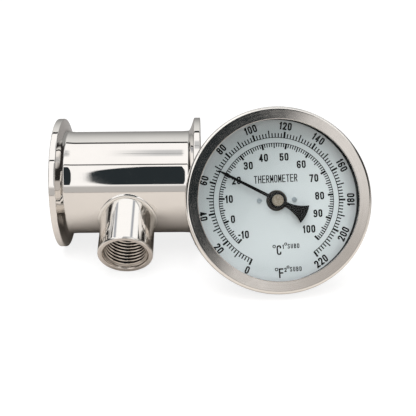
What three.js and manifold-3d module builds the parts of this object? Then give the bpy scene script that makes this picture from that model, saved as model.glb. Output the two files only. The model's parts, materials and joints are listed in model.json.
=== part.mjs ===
// Inline dial thermometer set: a back-mounted bimetal dial thermometer, and the clamp-ended
// pipe tee that it screws into, laid side by side on a flat surface.
// Units are millimetres and degrees. +Z is up, +X runs along the tee, and -Y is the dial's side.
// The thermometer's own axis is its head's local Z: 0 is the front edge of the bezel's side wall,
// positive is towards the reader, and negative is towards the stem's tip.

import * as THREE from 'three';
import { mergeVertices } from 'three/addons/utils/BufferGeometryUtils.js';
import Module from 'manifold-3d';

const wasm = await Module();
wasm.setup();

// ---------------------------------------------------------------- driving dimensions

const GAP = 0.3; // clearance kept between neighbouring pieces
const ROUND = 48; // sides of a large turned piece
const ROUND_SMALL = 20; // sides of a small turned piece
const CORNER_STEPS = 3; // steps in a rounded corner of a turned profile
const OVERRUN = 1; // how far a cutter runs past the face that it cuts

// Tee: two-inch sanitary tube with two-inch clamp ferrules
const TEE_LENGTH = 70.4;
const TUBE_RADIUS = 25.4;
const TUBE_WALL = 1.65;
const FERRULE_RADIUS = 32;
const FERRULE_RIM = 3.05;
const FERRULE_BACK = 4.6;
const FERRULE_LENGTH = 7;
const FERRULE_SHOULDER_RADIUS = 27.4;
const GROOVE_RADIUS = 28.2;
const GROOVE_HALF_WIDTH = 1.6;
const GROOVE_DEPTH = 1.2;
const BOSS_RADIUS = 12.95;
const BOSS_REACH = 46.2; // tube axis to the boss's end face
const BOSS_ROOT = 18; // tube axis to where the boss's turned blank starts

// Half-inch taper pipe thread, shown as rings
const THREAD_PITCH = 25.4 / 14;
const THREAD_RADIUS = 10.67;
const THREAD_DEPTH = 1.2;
const THREAD_TAPER = 1 / 32; // radius lost for each millimetre of length
const THREAD_SIDES = 32;
const FEMALE_TURNS = 9;
const MALE_TURNS = 8;
const MALE_NECK = 1; // plain length between the hexagon and the male thread

// Thermometer head, measured along its axis
const BEZEL_RADIUS = 41.85;
const BEZEL_WALL = 0.8;
const BEZEL_FRONT = 1.6;
const BEZEL_BACK = -7.1;
const BEZEL_EDGE_ROUND = 1.3;
const BEZEL_ROLL_RADIUS = 39.7;
const WINDOW_RADIUS = 35.9;
const GASKET_RADIUS = 36.5;
const GASKET_THICKNESS = 0.8;
const LENS_THICKNESS = 1.6;
const SPACER_RADIUS = 37;
const SPACER_WALL = 1.2;
const CASE_INNER_RADIUS = 38.5;
const CASE_WALL = 0.8;
const CASE_BACK = -13;
const CASE_CORNER = 5;
const DIAL_RADIUS = 38;
const DIAL_FACE = -6.4;
const DIAL_THICKNESS = 0.5;
const DIAL_SCREW_OFFSET = 8;
const POST_RADIUS = 4.4;
const POST_FOOT_RADIUS = 6.5;
const POST_FOOT_HEIGHT = 1;
const POST_BORE = 1.9;
const POST_TOP = -5.2;

// Pointer
const POINTER_BACK = -4;
const POINTER_THICKNESS = 0.5;
const POINTER_LENGTH = 29.8;
const POINTER_TIP = 3;
const POINTER_HALF_WIDTH_OUTER = 0.58;
const POINTER_HALF_WIDTH_INNER = 0.77;
const POINTER_EYE_RADIUS = 3.75;
const POINTER_TAIL_RADIUS = 14.5;
const POINTER_TAIL_HALF_ANGLE = 17.8;
const POINTER_TAIL_HALF_WAIST = 1.2;
const POINTER_TAIL_FLARE = 0.55; // how far down the tail its sides turn outwards
const HUB_CAP_RADIUS = 2.9;
const HUB_CAP_THICKNESS = 0.5;

// Scale: degrees of turn for each degree Fahrenheit, clockwise from straight up
const SCALE_START_ANGLE = -154.4;
const SCALE_DEGREES_PER_F = 1.365;
const REST_READING_F = 68.3;

// Connection and stem
const COLLAR_RADIUS = 11;
const COLLAR_HEIGHT = 2.2;
const HEX_ACROSS_FLATS = 22.2;
const HEX_HEIGHT = 11;
const STEM_LENGTH = 63.5; // hex shoulder to tip
const STEM_RADIUS = 3.175;
const STEM_WALL = 0.4;
const STEM_PLUG_THICKNESS = 1;
const SPINDLE_RADIUS = 0.75;
const BUSHING_LENGTH = 2.6;
const COIL_TURNS = 7;
const COIL_STEPS_PER_TURN = 10;
const COIL_RADIUS = 1.95;
const COIL_WIRE_RADIUS = 0.42;
const COIL_LENGTH = 18;
const COIL_ANCHOR_LENGTH = 2;

// Calibration drive: a slotted screw at the back turns a pinion, and the pinion turns the dial
const GEAR_MODULE = 0.9;
const GEAR_TEETH = 50;
const PINION_TEETH = 10;
const GEAR_CUT_TEETH = 9; // the gear is toothed only where the pinion can reach
const GEAR_THICKNESS = 1;
const TOOTH_ADDENDUM = 0.62;
const TOOTH_DEDENDUM = 1.15;
const TOOTH_ROOT_SHARE = 0.3; // half of a tooth's root width over its pitch
const TOOTH_TIP_SHARE = 0.13;
const SCREW_RADIUS = 1.5;
const SCREW_HEAD_RADIUS = 2.8;
const SCREW_HEAD_HEIGHT = 1.2;
const SCREW_SLOT_WIDTH = 0.7;
const SCREW_SLOT_DEPTH = 0.6;
const GROMMET_RADIUS = 3.6;
const GROMMET_THICKNESS = 0.8;
const DIAL_SCREW_RADIUS = 0.6;
const DIAL_SCREW_HEAD_RADIUS = 1.1;
const DIAL_SCREW_HEAD_HEIGHT = 0.6;

// Where the thermometer lies beside the tee, in the tee's frame
const HEAD_X = 70.2;
const HEAD_Y = -46.6;
const HEAD_YAW = 4.4;

// ---------------------------------------------------------------- worked-out dimensions

const TUBE_BORE = TUBE_RADIUS - TUBE_WALL;
const BOSS_BORE = THREAD_RADIUS - THREAD_DEPTH - FEMALE_TURNS * THREAD_PITCH * THREAD_TAPER;
const BEZEL_LIP_BACK = BEZEL_FRONT - BEZEL_WALL;
const BEZEL_BORE = BEZEL_RADIUS - BEZEL_WALL;
const STACK_RADIUS = BEZEL_BORE - GAP;
const GASKET_FRONT = BEZEL_LIP_BACK - GAP;
const GASKET_BACK = GASKET_FRONT - GASKET_THICKNESS;
const LENS_FRONT = GASKET_BACK - GAP;
const LENS_BACK = LENS_FRONT - LENS_THICKNESS;
const FLANGE_BACK = BEZEL_BACK + BEZEL_WALL + GAP;
const FLANGE_FRONT = FLANGE_BACK + CASE_WALL;
const CASE_RADIUS = CASE_INNER_RADIUS + CASE_WALL;
const CASE_FLOOR = CASE_BACK + CASE_WALL;
const DIAL_BACK = DIAL_FACE - DIAL_THICKNESS;
const GEAR_FRONT = DIAL_BACK - GAP - 0.1;
const GEAR_BACK = GEAR_FRONT - GEAR_THICKNESS;
const POST_BOTTOM = CASE_FLOOR + GAP;
const STEM_HOLE = STEM_RADIUS + GAP;
const STEM_BORE = STEM_RADIUS - STEM_WALL;
const COLLAR_FRONT = CASE_BACK - GAP;
const COLLAR_BACK = COLLAR_FRONT - COLLAR_HEIGHT;
const HEX_FRONT = COLLAR_BACK - GAP;
const HEX_BACK = HEX_FRONT - HEX_HEIGHT;
const TIP_Z = HEX_BACK - STEM_LENGTH;
const STEM_BOTTOM = TIP_Z + STEM_PLUG_THICKNESS + GAP;
const ANCHOR_BACK = STEM_BOTTOM + GAP;
const ANCHOR_FRONT = ANCHOR_BACK + COIL_ANCHOR_LENGTH;
const COIL_BACK = ANCHOR_FRONT + GAP + COIL_WIRE_RADIUS;
const COIL_FRONT = COIL_BACK + COIL_LENGTH;
const SPINDLE_BACK = COIL_FRONT + COIL_WIRE_RADIUS + GAP;
const SPINDLE_HOLE = SPINDLE_RADIUS + GAP;
const POINTER_FRONT = POINTER_BACK + POINTER_THICKNESS;
const HUB_CAP_BACK = POINTER_FRONT + GAP;
const PINION_OFFSET = GEAR_MODULE * (GEAR_TEETH + PINION_TEETH) / 2;
const SCREW_HOLE = SCREW_RADIUS + GAP;
const GROMMET_FRONT = CASE_BACK - GAP;
const GROMMET_BACK = GROMMET_FRONT - GROMMET_THICKNESS;
const SCREW_HEAD_FRONT = GROMMET_BACK - GAP;
const DIAL_SCREW_HOLE = DIAL_SCREW_RADIUS + GAP;

// The tee rests on its two ferrules and on the lip of its boss
const BOSS_DROP = Math.asin(FERRULE_RADIUS / Math.hypot(BOSS_REACH, BOSS_RADIUS))
  - Math.atan2(BOSS_RADIUS, BOSS_REACH);

// The thermometer rests on the back edge of its bezel and on the tip of its stem
const HEAD_TILT = Math.atan2(BEZEL_RADIUS - STEM_RADIUS, BEZEL_BACK - TIP_Z);
const HEAD_Z = BEZEL_RADIUS * Math.cos(HEAD_TILT) - BEZEL_BACK * Math.sin(HEAD_TILT);

const POINTER_ANGLE = -(SCALE_START_ANGLE + REST_READING_F * SCALE_DEGREES_PER_F);

// ---------------------------------------------------------------- finishes

const finish = (color, roughness, metalness) =>
  new THREE.MeshStandardMaterial({ color, roughness, metalness });

const POLISHED_STEEL = finish(0xd6d3ce, 0.12, 1);
const SATIN_STEEL = finish(0xc9c7c2, 0.32, 1);
const BRASS = finish(0xb89b5e, 0.35, 1);
const NICKEL = finish(0xb0a694, 0.35, 1);
const DIAL_WHITE = finish(0xdfe6e8, 0.5, 0);
const POINTER_BLACK = finish(0x101012, 0.3, 0);
const BLACK_RUBBER = finish(0x161616, 0.7, 0);
const BLACK_PLASTIC = finish(0x1c1c1d, 0.5, 0);
const BIMETAL = finish(0xa79a86, 0.4, 1);
const LENS_GLASS = new THREE.MeshStandardMaterial({
  color: 0xeef4f4,
  roughness: 0.05,
  metalness: 0,
  transparent: true,
  opacity: 0.25,
});

// ---------------------------------------------------------------- shape helpers

const radians = THREE.MathUtils.degToRad;

// A quarter-round corner about (r, z), from one angle to another, as profile points
function cornerArc(r, z, radius, startDegrees, endDegrees) {
  const points = [];
  for (let step = 0; step <= CORNER_STEPS; step += 1) {
    const angle = radians(THREE.MathUtils.lerp(startDegrees, endDegrees, step / CORNER_STEPS));
    points.push([r + radius * Math.cos(angle), z + radius * Math.sin(angle)]);
  }
  return points;
}

// A turned solid about +Z from a closed outline of [radius, z] points
function turned(outline, sides = ROUND) {
  const points = outline.map(([r, z]) => new THREE.Vector2(r, z));
  if (THREE.ShapeUtils.area(points) < 0) points.reverse();
  const touchesAxis = points.some((point) => point.x === 0);
  if (!touchesAxis) points.push(points[0].clone());
  const geometry = new THREE.LatheGeometry(points, sides);
  geometry.rotateX(Math.PI / 2);
  return geometry;
}

// A flat ring or washer between two radii and two heights
function ring(inner, outer, back, front, sides = ROUND) {
  return turned([[inner, back], [outer, back], [outer, front], [inner, front]], sides);
}

// A plain disc or rod about +Z
function rod(radius, back, front, sides = ROUND_SMALL) {
  return turned([[0, back], [radius, back], [radius, front], [0, front]], sides);
}

// A flat plate of a given outline, with its back face at a given height
function plate(shape, back, thickness, curveSegments = 8) {
  const geometry = new THREE.ExtrudeGeometry(shape, { depth: thickness, bevelEnabled: false, curveSegments });
  geometry.translate(0, 0, back);
  return geometry;
}

function toSolid(geometry) {
  const bare = geometry.clone();
  bare.deleteAttribute('normal');
  bare.deleteAttribute('uv');
  const merged = mergeVertices(bare);
  return new wasm.Manifold(new wasm.Mesh({
    numProp: 3,
    vertProperties: new Float32Array(merged.attributes.position.array),
    triVerts: new Uint32Array(merged.index.array),
  }));
}

function toGeometry(solid) {
  const mesh = solid.getMesh();
  const geometry = new THREE.BufferGeometry();
  geometry.setAttribute('position', new THREE.BufferAttribute(new Float32Array(mesh.vertProperties), 3));
  geometry.setIndex(new THREE.BufferAttribute(new Uint32Array(mesh.triVerts), 1));
  geometry.computeVertexNormals();
  return geometry;
}

function cut(geometry, ...cutters) {
  const solid = cutters.reduce((left, cutter) => left.subtract(toSolid(cutter)), toSolid(geometry));
  return toGeometry(solid);
}

function join(first, second) {
  return toGeometry(toSolid(first).add(toSolid(second)));
}

function piece(name, geometry, material) {
  const mesh = new THREE.Mesh(geometry, material);
  mesh.name = name;
  return mesh;
}

// The crests and roots of a ring-shaped thread, as profile points running away from its start
function threadPoints(start, direction, turns, rootOffset) {
  const points = [];
  for (let turn = 0; turn < turns; turn += 1) {
    const crestRun = (turn + 0.5) * THREAD_PITCH;
    const rootRun = (turn + 1) * THREAD_PITCH;
    points.push([THREAD_RADIUS - crestRun * THREAD_TAPER, start + direction * crestRun]);
    points.push([THREAD_RADIUS - rootOffset - rootRun * THREAD_TAPER, start + direction * rootRun]);
  }
  return points;
}

// ---------------------------------------------------------------- tee

// A clamp ferrule about +Z with its sealing face at z = 0 and its welded end at FERRULE_LENGTH
function ferrule() {
  const outline = [
    [TUBE_BORE, 0],
    [GROOVE_RADIUS - GROOVE_HALF_WIDTH, 0],
    [GROOVE_RADIUS, GROOVE_DEPTH],
    [GROOVE_RADIUS + GROOVE_HALF_WIDTH, 0],
    [FERRULE_RADIUS, 0],
    [FERRULE_RADIUS, FERRULE_RIM],
    [FERRULE_SHOULDER_RADIUS, FERRULE_BACK],
    [TUBE_RADIUS, FERRULE_BACK + (FERRULE_LENGTH - FERRULE_BACK) / 2],
    [TUBE_RADIUS, FERRULE_LENGTH],
    [TUBE_BORE, FERRULE_LENGTH],
  ];
  return turned(outline);
}

function spoolTube() {
  const half = TEE_LENGTH / 2 - FERRULE_LENGTH - GAP;
  const wall = ring(TUBE_BORE, TUBE_RADIUS, -half, half);
  wall.rotateY(Math.PI / 2);
  const hole = rod(BOSS_BORE, 0, BOSS_REACH, THREAD_SIDES);
  hole.rotateX(Math.PI / 2 + BOSS_DROP);
  return cut(wall, hole);
}

// The boss about +Z from the tube's axis, coped to sit on the tube
function threadedBoss() {
  const mouth = BOSS_REACH;
  const outline = [
    [BOSS_RADIUS, BOSS_ROOT],
    [BOSS_RADIUS, mouth],
    [THREAD_RADIUS, mouth],
    ...threadPoints(mouth, -1, FEMALE_TURNS, THREAD_DEPTH),
    [BOSS_BORE, BOSS_ROOT],
  ];
  const blank = turned(outline, THREAD_SIDES);
  const tube = rod(TUBE_RADIUS + GAP, -BOSS_RADIUS - OVERRUN, BOSS_RADIUS + OVERRUN, ROUND);
  tube.rotateY(Math.PI / 2);
  return cut(blank, tube);
}

function tee() {
  const group = new THREE.Group();
  const left = piece('ferrule_left', ferrule(), POLISHED_STEEL);
  left.rotation.y = Math.PI / 2;
  left.position.x = -TEE_LENGTH / 2;
  const right = piece('ferrule_right', ferrule(), POLISHED_STEEL);
  right.rotation.y = -Math.PI / 2;
  right.position.x = TEE_LENGTH / 2;
  const boss = piece('threaded_boss', threadedBoss(), POLISHED_STEEL);
  boss.rotation.x = Math.PI / 2 + BOSS_DROP;
  group.add(left, right, boss, piece('spool_tube', spoolTube(), POLISHED_STEEL));
  group.position.z = FERRULE_RADIUS;
  return group;
}

// ---------------------------------------------------------------- thermometer case and window

function bezelRing() {
  return turned([
    [WINDOW_RADIUS, BEZEL_LIP_BACK],
    [WINDOW_RADIUS, BEZEL_FRONT],
    ...cornerArc(BEZEL_RADIUS - BEZEL_EDGE_ROUND, BEZEL_FRONT - BEZEL_EDGE_ROUND, BEZEL_EDGE_ROUND, 90, 0),
    [BEZEL_RADIUS, BEZEL_BACK],
    [BEZEL_ROLL_RADIUS, BEZEL_BACK],
    [BEZEL_ROLL_RADIUS, BEZEL_BACK + BEZEL_WALL],
    [BEZEL_BORE, BEZEL_BACK + BEZEL_WALL],
    [BEZEL_BORE, BEZEL_LIP_BACK],
  ]);
}

function spacerRing() {
  const dialSide = DIAL_FACE + GAP;
  const shoulder = FLANGE_FRONT + GAP;
  return turned([
    [SPACER_RADIUS, dialSide],
    [SPACER_RADIUS + SPACER_WALL, dialSide],
    [SPACER_RADIUS + SPACER_WALL, shoulder],
    [STACK_RADIUS, shoulder],
    [STACK_RADIUS, LENS_BACK - GAP],
    [SPACER_RADIUS, LENS_BACK - GAP],
  ]);
}

function caseShell() {
  const cornerRadius = CASE_RADIUS - CASE_CORNER;
  const cornerHeight = CASE_BACK + CASE_CORNER;
  const shell = turned([
    [STEM_HOLE, CASE_BACK],
    ...cornerArc(cornerRadius, cornerHeight, CASE_CORNER, -90, 0),
    [CASE_RADIUS, FLANGE_BACK],
    [STACK_RADIUS, FLANGE_BACK],
    [STACK_RADIUS, FLANGE_FRONT],
    [CASE_INNER_RADIUS, FLANGE_FRONT],
    ...cornerArc(cornerRadius, cornerHeight, CASE_CORNER - CASE_WALL, 0, -90),
    [STEM_HOLE, CASE_FLOOR],
  ]);
  const screwHole = rod(SCREW_HOLE, CASE_BACK - OVERRUN, CASE_FLOOR + OVERRUN);
  screwHole.translate(0, PINION_OFFSET, 0);
  return cut(shell, screwHole);
}

function centerPost() {
  const footTop = POST_BOTTOM + POST_FOOT_HEIGHT;
  return turned([
    [POST_BORE, POST_BOTTOM],
    [POST_FOOT_RADIUS, POST_BOTTOM],
    [POST_FOOT_RADIUS, footTop],
    [POST_RADIUS, footTop],
    [POST_RADIUS, POST_TOP],
    [POST_BORE, POST_TOP],
  ], ROUND_SMALL);
}

// ---------------------------------------------------------------- connection and stem

function connectionBushing() {
  const hexagon = new THREE.Shape();
  const cornerRadius = HEX_ACROSS_FLATS / 2 / Math.cos(Math.PI / 6);
  for (let corner = 0; corner < 6; corner += 1) {
    const angle = corner * Math.PI / 3;
    const x = cornerRadius * Math.cos(angle);
    const y = cornerRadius * Math.sin(angle);
    if (corner === 0) hexagon.moveTo(x, y);
    else hexagon.lineTo(x, y);
  }
  hexagon.closePath();
  const hex = cut(plate(hexagon, HEX_BACK, HEX_HEIGHT), rod(STEM_HOLE, HEX_BACK - OVERRUN, HEX_FRONT + OVERRUN));
  const neckBack = HEX_BACK - MALE_NECK;
  const threadStart = neckBack - THREAD_PITCH / 2;
  const sleeve = turned([
    [STEM_HOLE, HEX_BACK + OVERRUN],
    [THREAD_RADIUS, HEX_BACK + OVERRUN],
    [THREAD_RADIUS, neckBack],
    [THREAD_RADIUS - THREAD_DEPTH, threadStart],
    ...threadPoints(threadStart, -1, MALE_TURNS, THREAD_DEPTH),
    [STEM_HOLE, threadStart - MALE_TURNS * THREAD_PITCH],
  ], ROUND_SMALL);
  return join(hex, sleeve);
}

class Helix extends THREE.Curve {
  getPoint(t, target = new THREE.Vector3()) {
    const angle = t * COIL_TURNS * 2 * Math.PI;
    const z = THREE.MathUtils.lerp(COIL_BACK, COIL_FRONT, t);
    return target.set(COIL_RADIUS * Math.cos(angle), COIL_RADIUS * Math.sin(angle), z);
  }
}

function bimetalCoil() {
  const section = new THREE.Shape();
  section.absarc(0, 0, COIL_WIRE_RADIUS, 0, 2 * Math.PI, false);
  return new THREE.ExtrudeGeometry(section, {
    curveSegments: 3,
    steps: COIL_TURNS * COIL_STEPS_PER_TURN,
    bevelEnabled: false,
    extrudePath: new Helix(),
  });
}

function lowerBushing() {
  const front = SPINDLE_BACK + BUSHING_LENGTH + OVERRUN;
  return ring(SPINDLE_HOLE, STEM_BORE - GAP, front - BUSHING_LENGTH, front, ROUND_SMALL);
}

// ---------------------------------------------------------------- dial and its drive

// The outline of a gear, with teeth on the whole circle or only about +Y
function gearOutline(teeth, cutTeeth) {
  const pitchRadius = GEAR_MODULE * teeth / 2;
  const root = pitchRadius - GEAR_MODULE * TOOTH_DEDENDUM;
  const tip = pitchRadius + GEAR_MODULE * TOOTH_ADDENDUM;
  const shape = new THREE.Shape();
  const toothAngle = 2 * Math.PI / teeth;
  const place = (radius, angle) => [radius * Math.sin(angle), radius * Math.cos(angle)];
  for (let tooth = 0; tooth < teeth; tooth += 1) {
    const middle = tooth * toothAngle;
    const fromTop = Math.min(tooth, teeth - tooth);
    if (tooth === 0) shape.moveTo(...place(root, -TOOTH_ROOT_SHARE * toothAngle));
    else shape.lineTo(...place(root, middle - TOOTH_ROOT_SHARE * toothAngle));
    if (fromTop <= (cutTeeth - 1) / 2) {
      shape.lineTo(...place(tip, middle - TOOTH_TIP_SHARE * toothAngle));
      shape.lineTo(...place(tip, middle + TOOTH_TIP_SHARE * toothAngle));
    }
    shape.lineTo(...place(root, middle + TOOTH_ROOT_SHARE * toothAngle));
  }
  shape.closePath();
  return shape;
}

function dialScrewHoles(back, front) {
  return [-DIAL_SCREW_OFFSET, DIAL_SCREW_OFFSET].map((offset) => {
    const hole = rod(DIAL_SCREW_HOLE, back - OVERRUN, front + OVERRUN, 12);
    hole.translate(offset, 0, 0);
    return hole;
  });
}

function dialPlate() {
  const disc = ring(POST_RADIUS + GAP, DIAL_RADIUS, DIAL_BACK, DIAL_FACE);
  return cut(disc, ...dialScrewHoles(DIAL_BACK, DIAL_FACE));
}

function dialCarrierGear() {
  const gear = plate(gearOutline(GEAR_TEETH, GEAR_CUT_TEETH), GEAR_BACK, GEAR_THICKNESS);
  const bore = rod(POST_RADIUS + GAP, GEAR_BACK - OVERRUN, GEAR_FRONT + OVERRUN);
  return cut(gear, bore, ...dialScrewHoles(GEAR_BACK, GEAR_FRONT));
}

function dialScrew() {
  const underHead = DIAL_FACE + GAP;
  return turned([
    [0, GEAR_BACK],
    [DIAL_SCREW_RADIUS, GEAR_BACK],
    [DIAL_SCREW_RADIUS, underHead],
    [DIAL_SCREW_HEAD_RADIUS, underHead],
    [DIAL_SCREW_HEAD_RADIUS, underHead + DIAL_SCREW_HEAD_HEIGHT / 2],
    [DIAL_SCREW_HEAD_RADIUS * 0.7, underHead + DIAL_SCREW_HEAD_HEIGHT],
    [0, underHead + DIAL_SCREW_HEAD_HEIGHT],
  ], 12);
}

// The pinion is turned by half a tooth, so that a gap faces the gear's tooth at rest
function calibrationPinion() {
  const pinion = plate(gearOutline(PINION_TEETH, PINION_TEETH), GEAR_BACK, GEAR_THICKNESS);
  const bore = rod(SCREW_HOLE, GEAR_BACK - OVERRUN, GEAR_FRONT + OVERRUN, 16);
  const geometry = cut(pinion, bore);
  geometry.rotateZ(Math.PI + Math.PI / PINION_TEETH);
  return geometry;
}

function calibrationScrew() {
  const headBack = SCREW_HEAD_FRONT - SCREW_HEAD_HEIGHT;
  const blank = turned([
    [0, headBack],
    [SCREW_HEAD_RADIUS, headBack],
    [SCREW_HEAD_RADIUS, SCREW_HEAD_FRONT],
    [SCREW_RADIUS, SCREW_HEAD_FRONT],
    [SCREW_RADIUS, GEAR_FRONT],
    [0, GEAR_FRONT],
  ], ROUND_SMALL);
  const slot = new THREE.BoxGeometry(2 * SCREW_HEAD_RADIUS + OVERRUN, SCREW_SLOT_WIDTH, 2 * SCREW_SLOT_DEPTH);
  slot.translate(0, 0, headBack);
  return cut(blank, slot);
}

function calibrationDrive() {
  const group = new THREE.Group();
  group.position.y = PINION_OFFSET;
  group.add(
    piece('calibration_screw', calibrationScrew(), SATIN_STEEL),
    piece('calibration_pinion', calibrationPinion(), BRASS),
    piece('calibration_grommet', ring(SCREW_HOLE, GROMMET_RADIUS, GROMMET_BACK, GROMMET_FRONT, ROUND_SMALL),
      BLACK_RUBBER),
  );
  return group;
}

// ---------------------------------------------------------------- pointer

// A needle towards +Y, a round eye on the axis, and a fan-shaped tail towards -Y
function pointerShape() {
  const needleFoot = Math.sqrt(POINTER_EYE_RADIUS ** 2 - POINTER_HALF_WIDTH_INNER ** 2);
  const tailHalf = radians(POINTER_TAIL_HALF_ANGLE);
  const tailX = POINTER_TAIL_RADIUS * Math.sin(tailHalf);
  const tailY = -POINTER_TAIL_RADIUS * Math.cos(tailHalf);
  const waistY = -Math.sqrt(POINTER_EYE_RADIUS ** 2 - POINTER_TAIL_HALF_WAIST ** 2);
  const needleAngle = Math.atan2(needleFoot, POINTER_HALF_WIDTH_INNER);
  const waistAngle = Math.atan2(waistY, POINTER_TAIL_HALF_WAIST);
  const waistControlY = THREE.MathUtils.lerp(waistY, tailY, POINTER_TAIL_FLARE);
  const shape = new THREE.Shape();
  shape.moveTo(0, POINTER_LENGTH);
  shape.lineTo(-POINTER_HALF_WIDTH_OUTER, POINTER_LENGTH - POINTER_TIP);
  shape.lineTo(-POINTER_HALF_WIDTH_INNER, needleFoot);
  shape.absarc(0, 0, POINTER_EYE_RADIUS, Math.PI - needleAngle, Math.PI - waistAngle, false);
  shape.quadraticCurveTo(-POINTER_TAIL_HALF_WAIST, waistControlY, -tailX, tailY);
  shape.absarc(0, 0, POINTER_TAIL_RADIUS, -Math.PI / 2 - tailHalf, -Math.PI / 2 + tailHalf, false);
  shape.quadraticCurveTo(POINTER_TAIL_HALF_WAIST, waistControlY, POINTER_TAIL_HALF_WAIST, waistY);
  shape.absarc(0, 0, POINTER_EYE_RADIUS, waistAngle, needleAngle, false);
  shape.lineTo(POINTER_HALF_WIDTH_OUTER, POINTER_LENGTH - POINTER_TIP);
  shape.closePath();
  const eye = new THREE.Path();
  eye.absarc(0, 0, SPINDLE_HOLE, 0, 2 * Math.PI, true);
  shape.holes.push(eye);
  return shape;
}

function pointerAssembly() {
  const group = new THREE.Group();
  group.rotation.z = radians(POINTER_ANGLE);
  const bushFront = POINTER_BACK - GAP;
  const bushBack = POST_TOP + GAP;
  group.add(
    piece('pointer', plate(pointerShape(), POINTER_BACK, POINTER_THICKNESS), POINTER_BLACK),
    piece('pointer_bush', ring(SPINDLE_HOLE, POST_BORE, bushBack, bushFront, ROUND_SMALL), BRASS),
    piece('hub_cap', rod(HUB_CAP_RADIUS, HUB_CAP_BACK, HUB_CAP_BACK + HUB_CAP_THICKNESS), NICKEL),
    piece('spindle', rod(SPINDLE_RADIUS, SPINDLE_BACK, POINTER_FRONT, 12), SATIN_STEEL),
  );
  return group;
}

// ---------------------------------------------------------------- whole thermometer

function thermometer() {
  const head = new THREE.Group();
  const bushingFront = POST_TOP - GAP;
  const leftScrew = piece('dial_screw_left', dialScrew(), NICKEL);
  leftScrew.position.x = -DIAL_SCREW_OFFSET;
  const rightScrew = piece('dial_screw_right', dialScrew(), NICKEL);
  rightScrew.position.x = DIAL_SCREW_OFFSET;
  head.add(
    piece('bezel_ring', bezelRing(), SATIN_STEEL),
    piece('lens_gasket', ring(GASKET_RADIUS, STACK_RADIUS, GASKET_BACK, GASKET_FRONT), BLACK_RUBBER),
    piece('glass_lens', rod(STACK_RADIUS, LENS_BACK, LENS_FRONT, ROUND), LENS_GLASS),
    piece('spacer_ring', spacerRing(), BLACK_PLASTIC),
    piece('case_shell', caseShell(), SATIN_STEEL),
    piece('case_collar', ring(STEM_HOLE, COLLAR_RADIUS, COLLAR_BACK, COLLAR_FRONT), SATIN_STEEL),
    piece('connection_bushing', connectionBushing(), SATIN_STEEL),
    piece('stem_tube', ring(STEM_BORE, STEM_RADIUS, STEM_BOTTOM, CASE_FLOOR, ROUND_SMALL), SATIN_STEEL),
    piece('stem_tip_plug', rod(STEM_RADIUS, TIP_Z, TIP_Z + STEM_PLUG_THICKNESS), SATIN_STEEL),
    piece('coil_anchor', rod(STEM_BORE - GAP, ANCHOR_BACK, ANCHOR_FRONT), BRASS),
    piece('bimetal_coil', bimetalCoil(), BIMETAL),
    piece('lower_bushing', lowerBushing(), BRASS),
    piece('center_post', centerPost(), BRASS),
    piece('upper_bushing', ring(SPINDLE_HOLE, POST_BORE - GAP, bushingFront - BUSHING_LENGTH, bushingFront,
      ROUND_SMALL), BRASS),
    piece('dial_plate', dialPlate(), DIAL_WHITE),
    piece('dial_carrier_gear', dialCarrierGear(), BRASS),
    leftScrew,
    rightScrew,
    pointerAssembly(),
    calibrationDrive(),
  );
  head.rotation.x = Math.PI / 2 - HEAD_TILT;
  const turntable = new THREE.Group();
  turntable.add(head);
  turntable.rotation.z = radians(HEAD_YAW);
  turntable.position.set(HEAD_X, HEAD_Y, HEAD_Z);
  return turntable;
}

// ---------------------------------------------------------------- the set

// The origin is under the middle of the set, on the surface that it stands on
function wholeSet() {
  const root = new THREE.Group();
  root.add(tee(), thermometer());
  root.updateMatrixWorld(true);
  const box = new THREE.Box3().setFromObject(root, true);
  const middle = box.getCenter(new THREE.Vector3());
  root.position.set(-middle.x, -middle.y, -box.min.z);
  return root;
}

export default wholeSet();
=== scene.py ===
import json
import math
from functools import reduce
from math import cos, pi, radians, sin

import bmesh
import bpy
from mathutils import Matrix, Vector


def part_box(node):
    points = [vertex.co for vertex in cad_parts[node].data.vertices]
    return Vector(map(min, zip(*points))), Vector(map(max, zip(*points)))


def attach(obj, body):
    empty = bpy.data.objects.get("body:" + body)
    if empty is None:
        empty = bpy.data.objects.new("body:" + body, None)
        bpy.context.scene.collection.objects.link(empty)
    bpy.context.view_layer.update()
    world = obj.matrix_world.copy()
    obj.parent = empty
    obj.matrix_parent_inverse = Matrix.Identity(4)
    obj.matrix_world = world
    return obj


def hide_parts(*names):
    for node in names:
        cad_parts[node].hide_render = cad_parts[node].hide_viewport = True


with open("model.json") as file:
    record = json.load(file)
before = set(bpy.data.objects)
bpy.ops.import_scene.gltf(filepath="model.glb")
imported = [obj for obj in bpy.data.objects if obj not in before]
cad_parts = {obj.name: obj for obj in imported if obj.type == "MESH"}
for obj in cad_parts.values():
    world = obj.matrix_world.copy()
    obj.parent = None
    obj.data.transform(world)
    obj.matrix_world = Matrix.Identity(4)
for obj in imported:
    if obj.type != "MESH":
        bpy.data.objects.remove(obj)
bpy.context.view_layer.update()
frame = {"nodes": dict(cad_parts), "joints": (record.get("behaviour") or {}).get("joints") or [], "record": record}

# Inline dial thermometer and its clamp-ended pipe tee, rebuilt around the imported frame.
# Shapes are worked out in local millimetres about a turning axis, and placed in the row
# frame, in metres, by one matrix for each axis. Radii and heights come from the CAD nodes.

MM = 0.001
SIDES = 192  # sides of a large turned piece
SIDES_SMALL = 96
CORNER_STEPS = 5
SUPPORT = 1.25  # a rounded corner's support loops, as a multiple of its reach
SMOOTH_ANGLE = radians(38)

# Pipe thread, as on the CAD pieces
THREAD_PITCH = 25.4 / 14
THREAD_DEPTH = 1.2
THREAD_TAPER = 1 / 32
THREAD_ROWS = 8  # rows of faces in one turn's height
THREAD_FADE = 1.0  # millimetres over which a thread fades out at each end
BOSS_TURNS = 9

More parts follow.
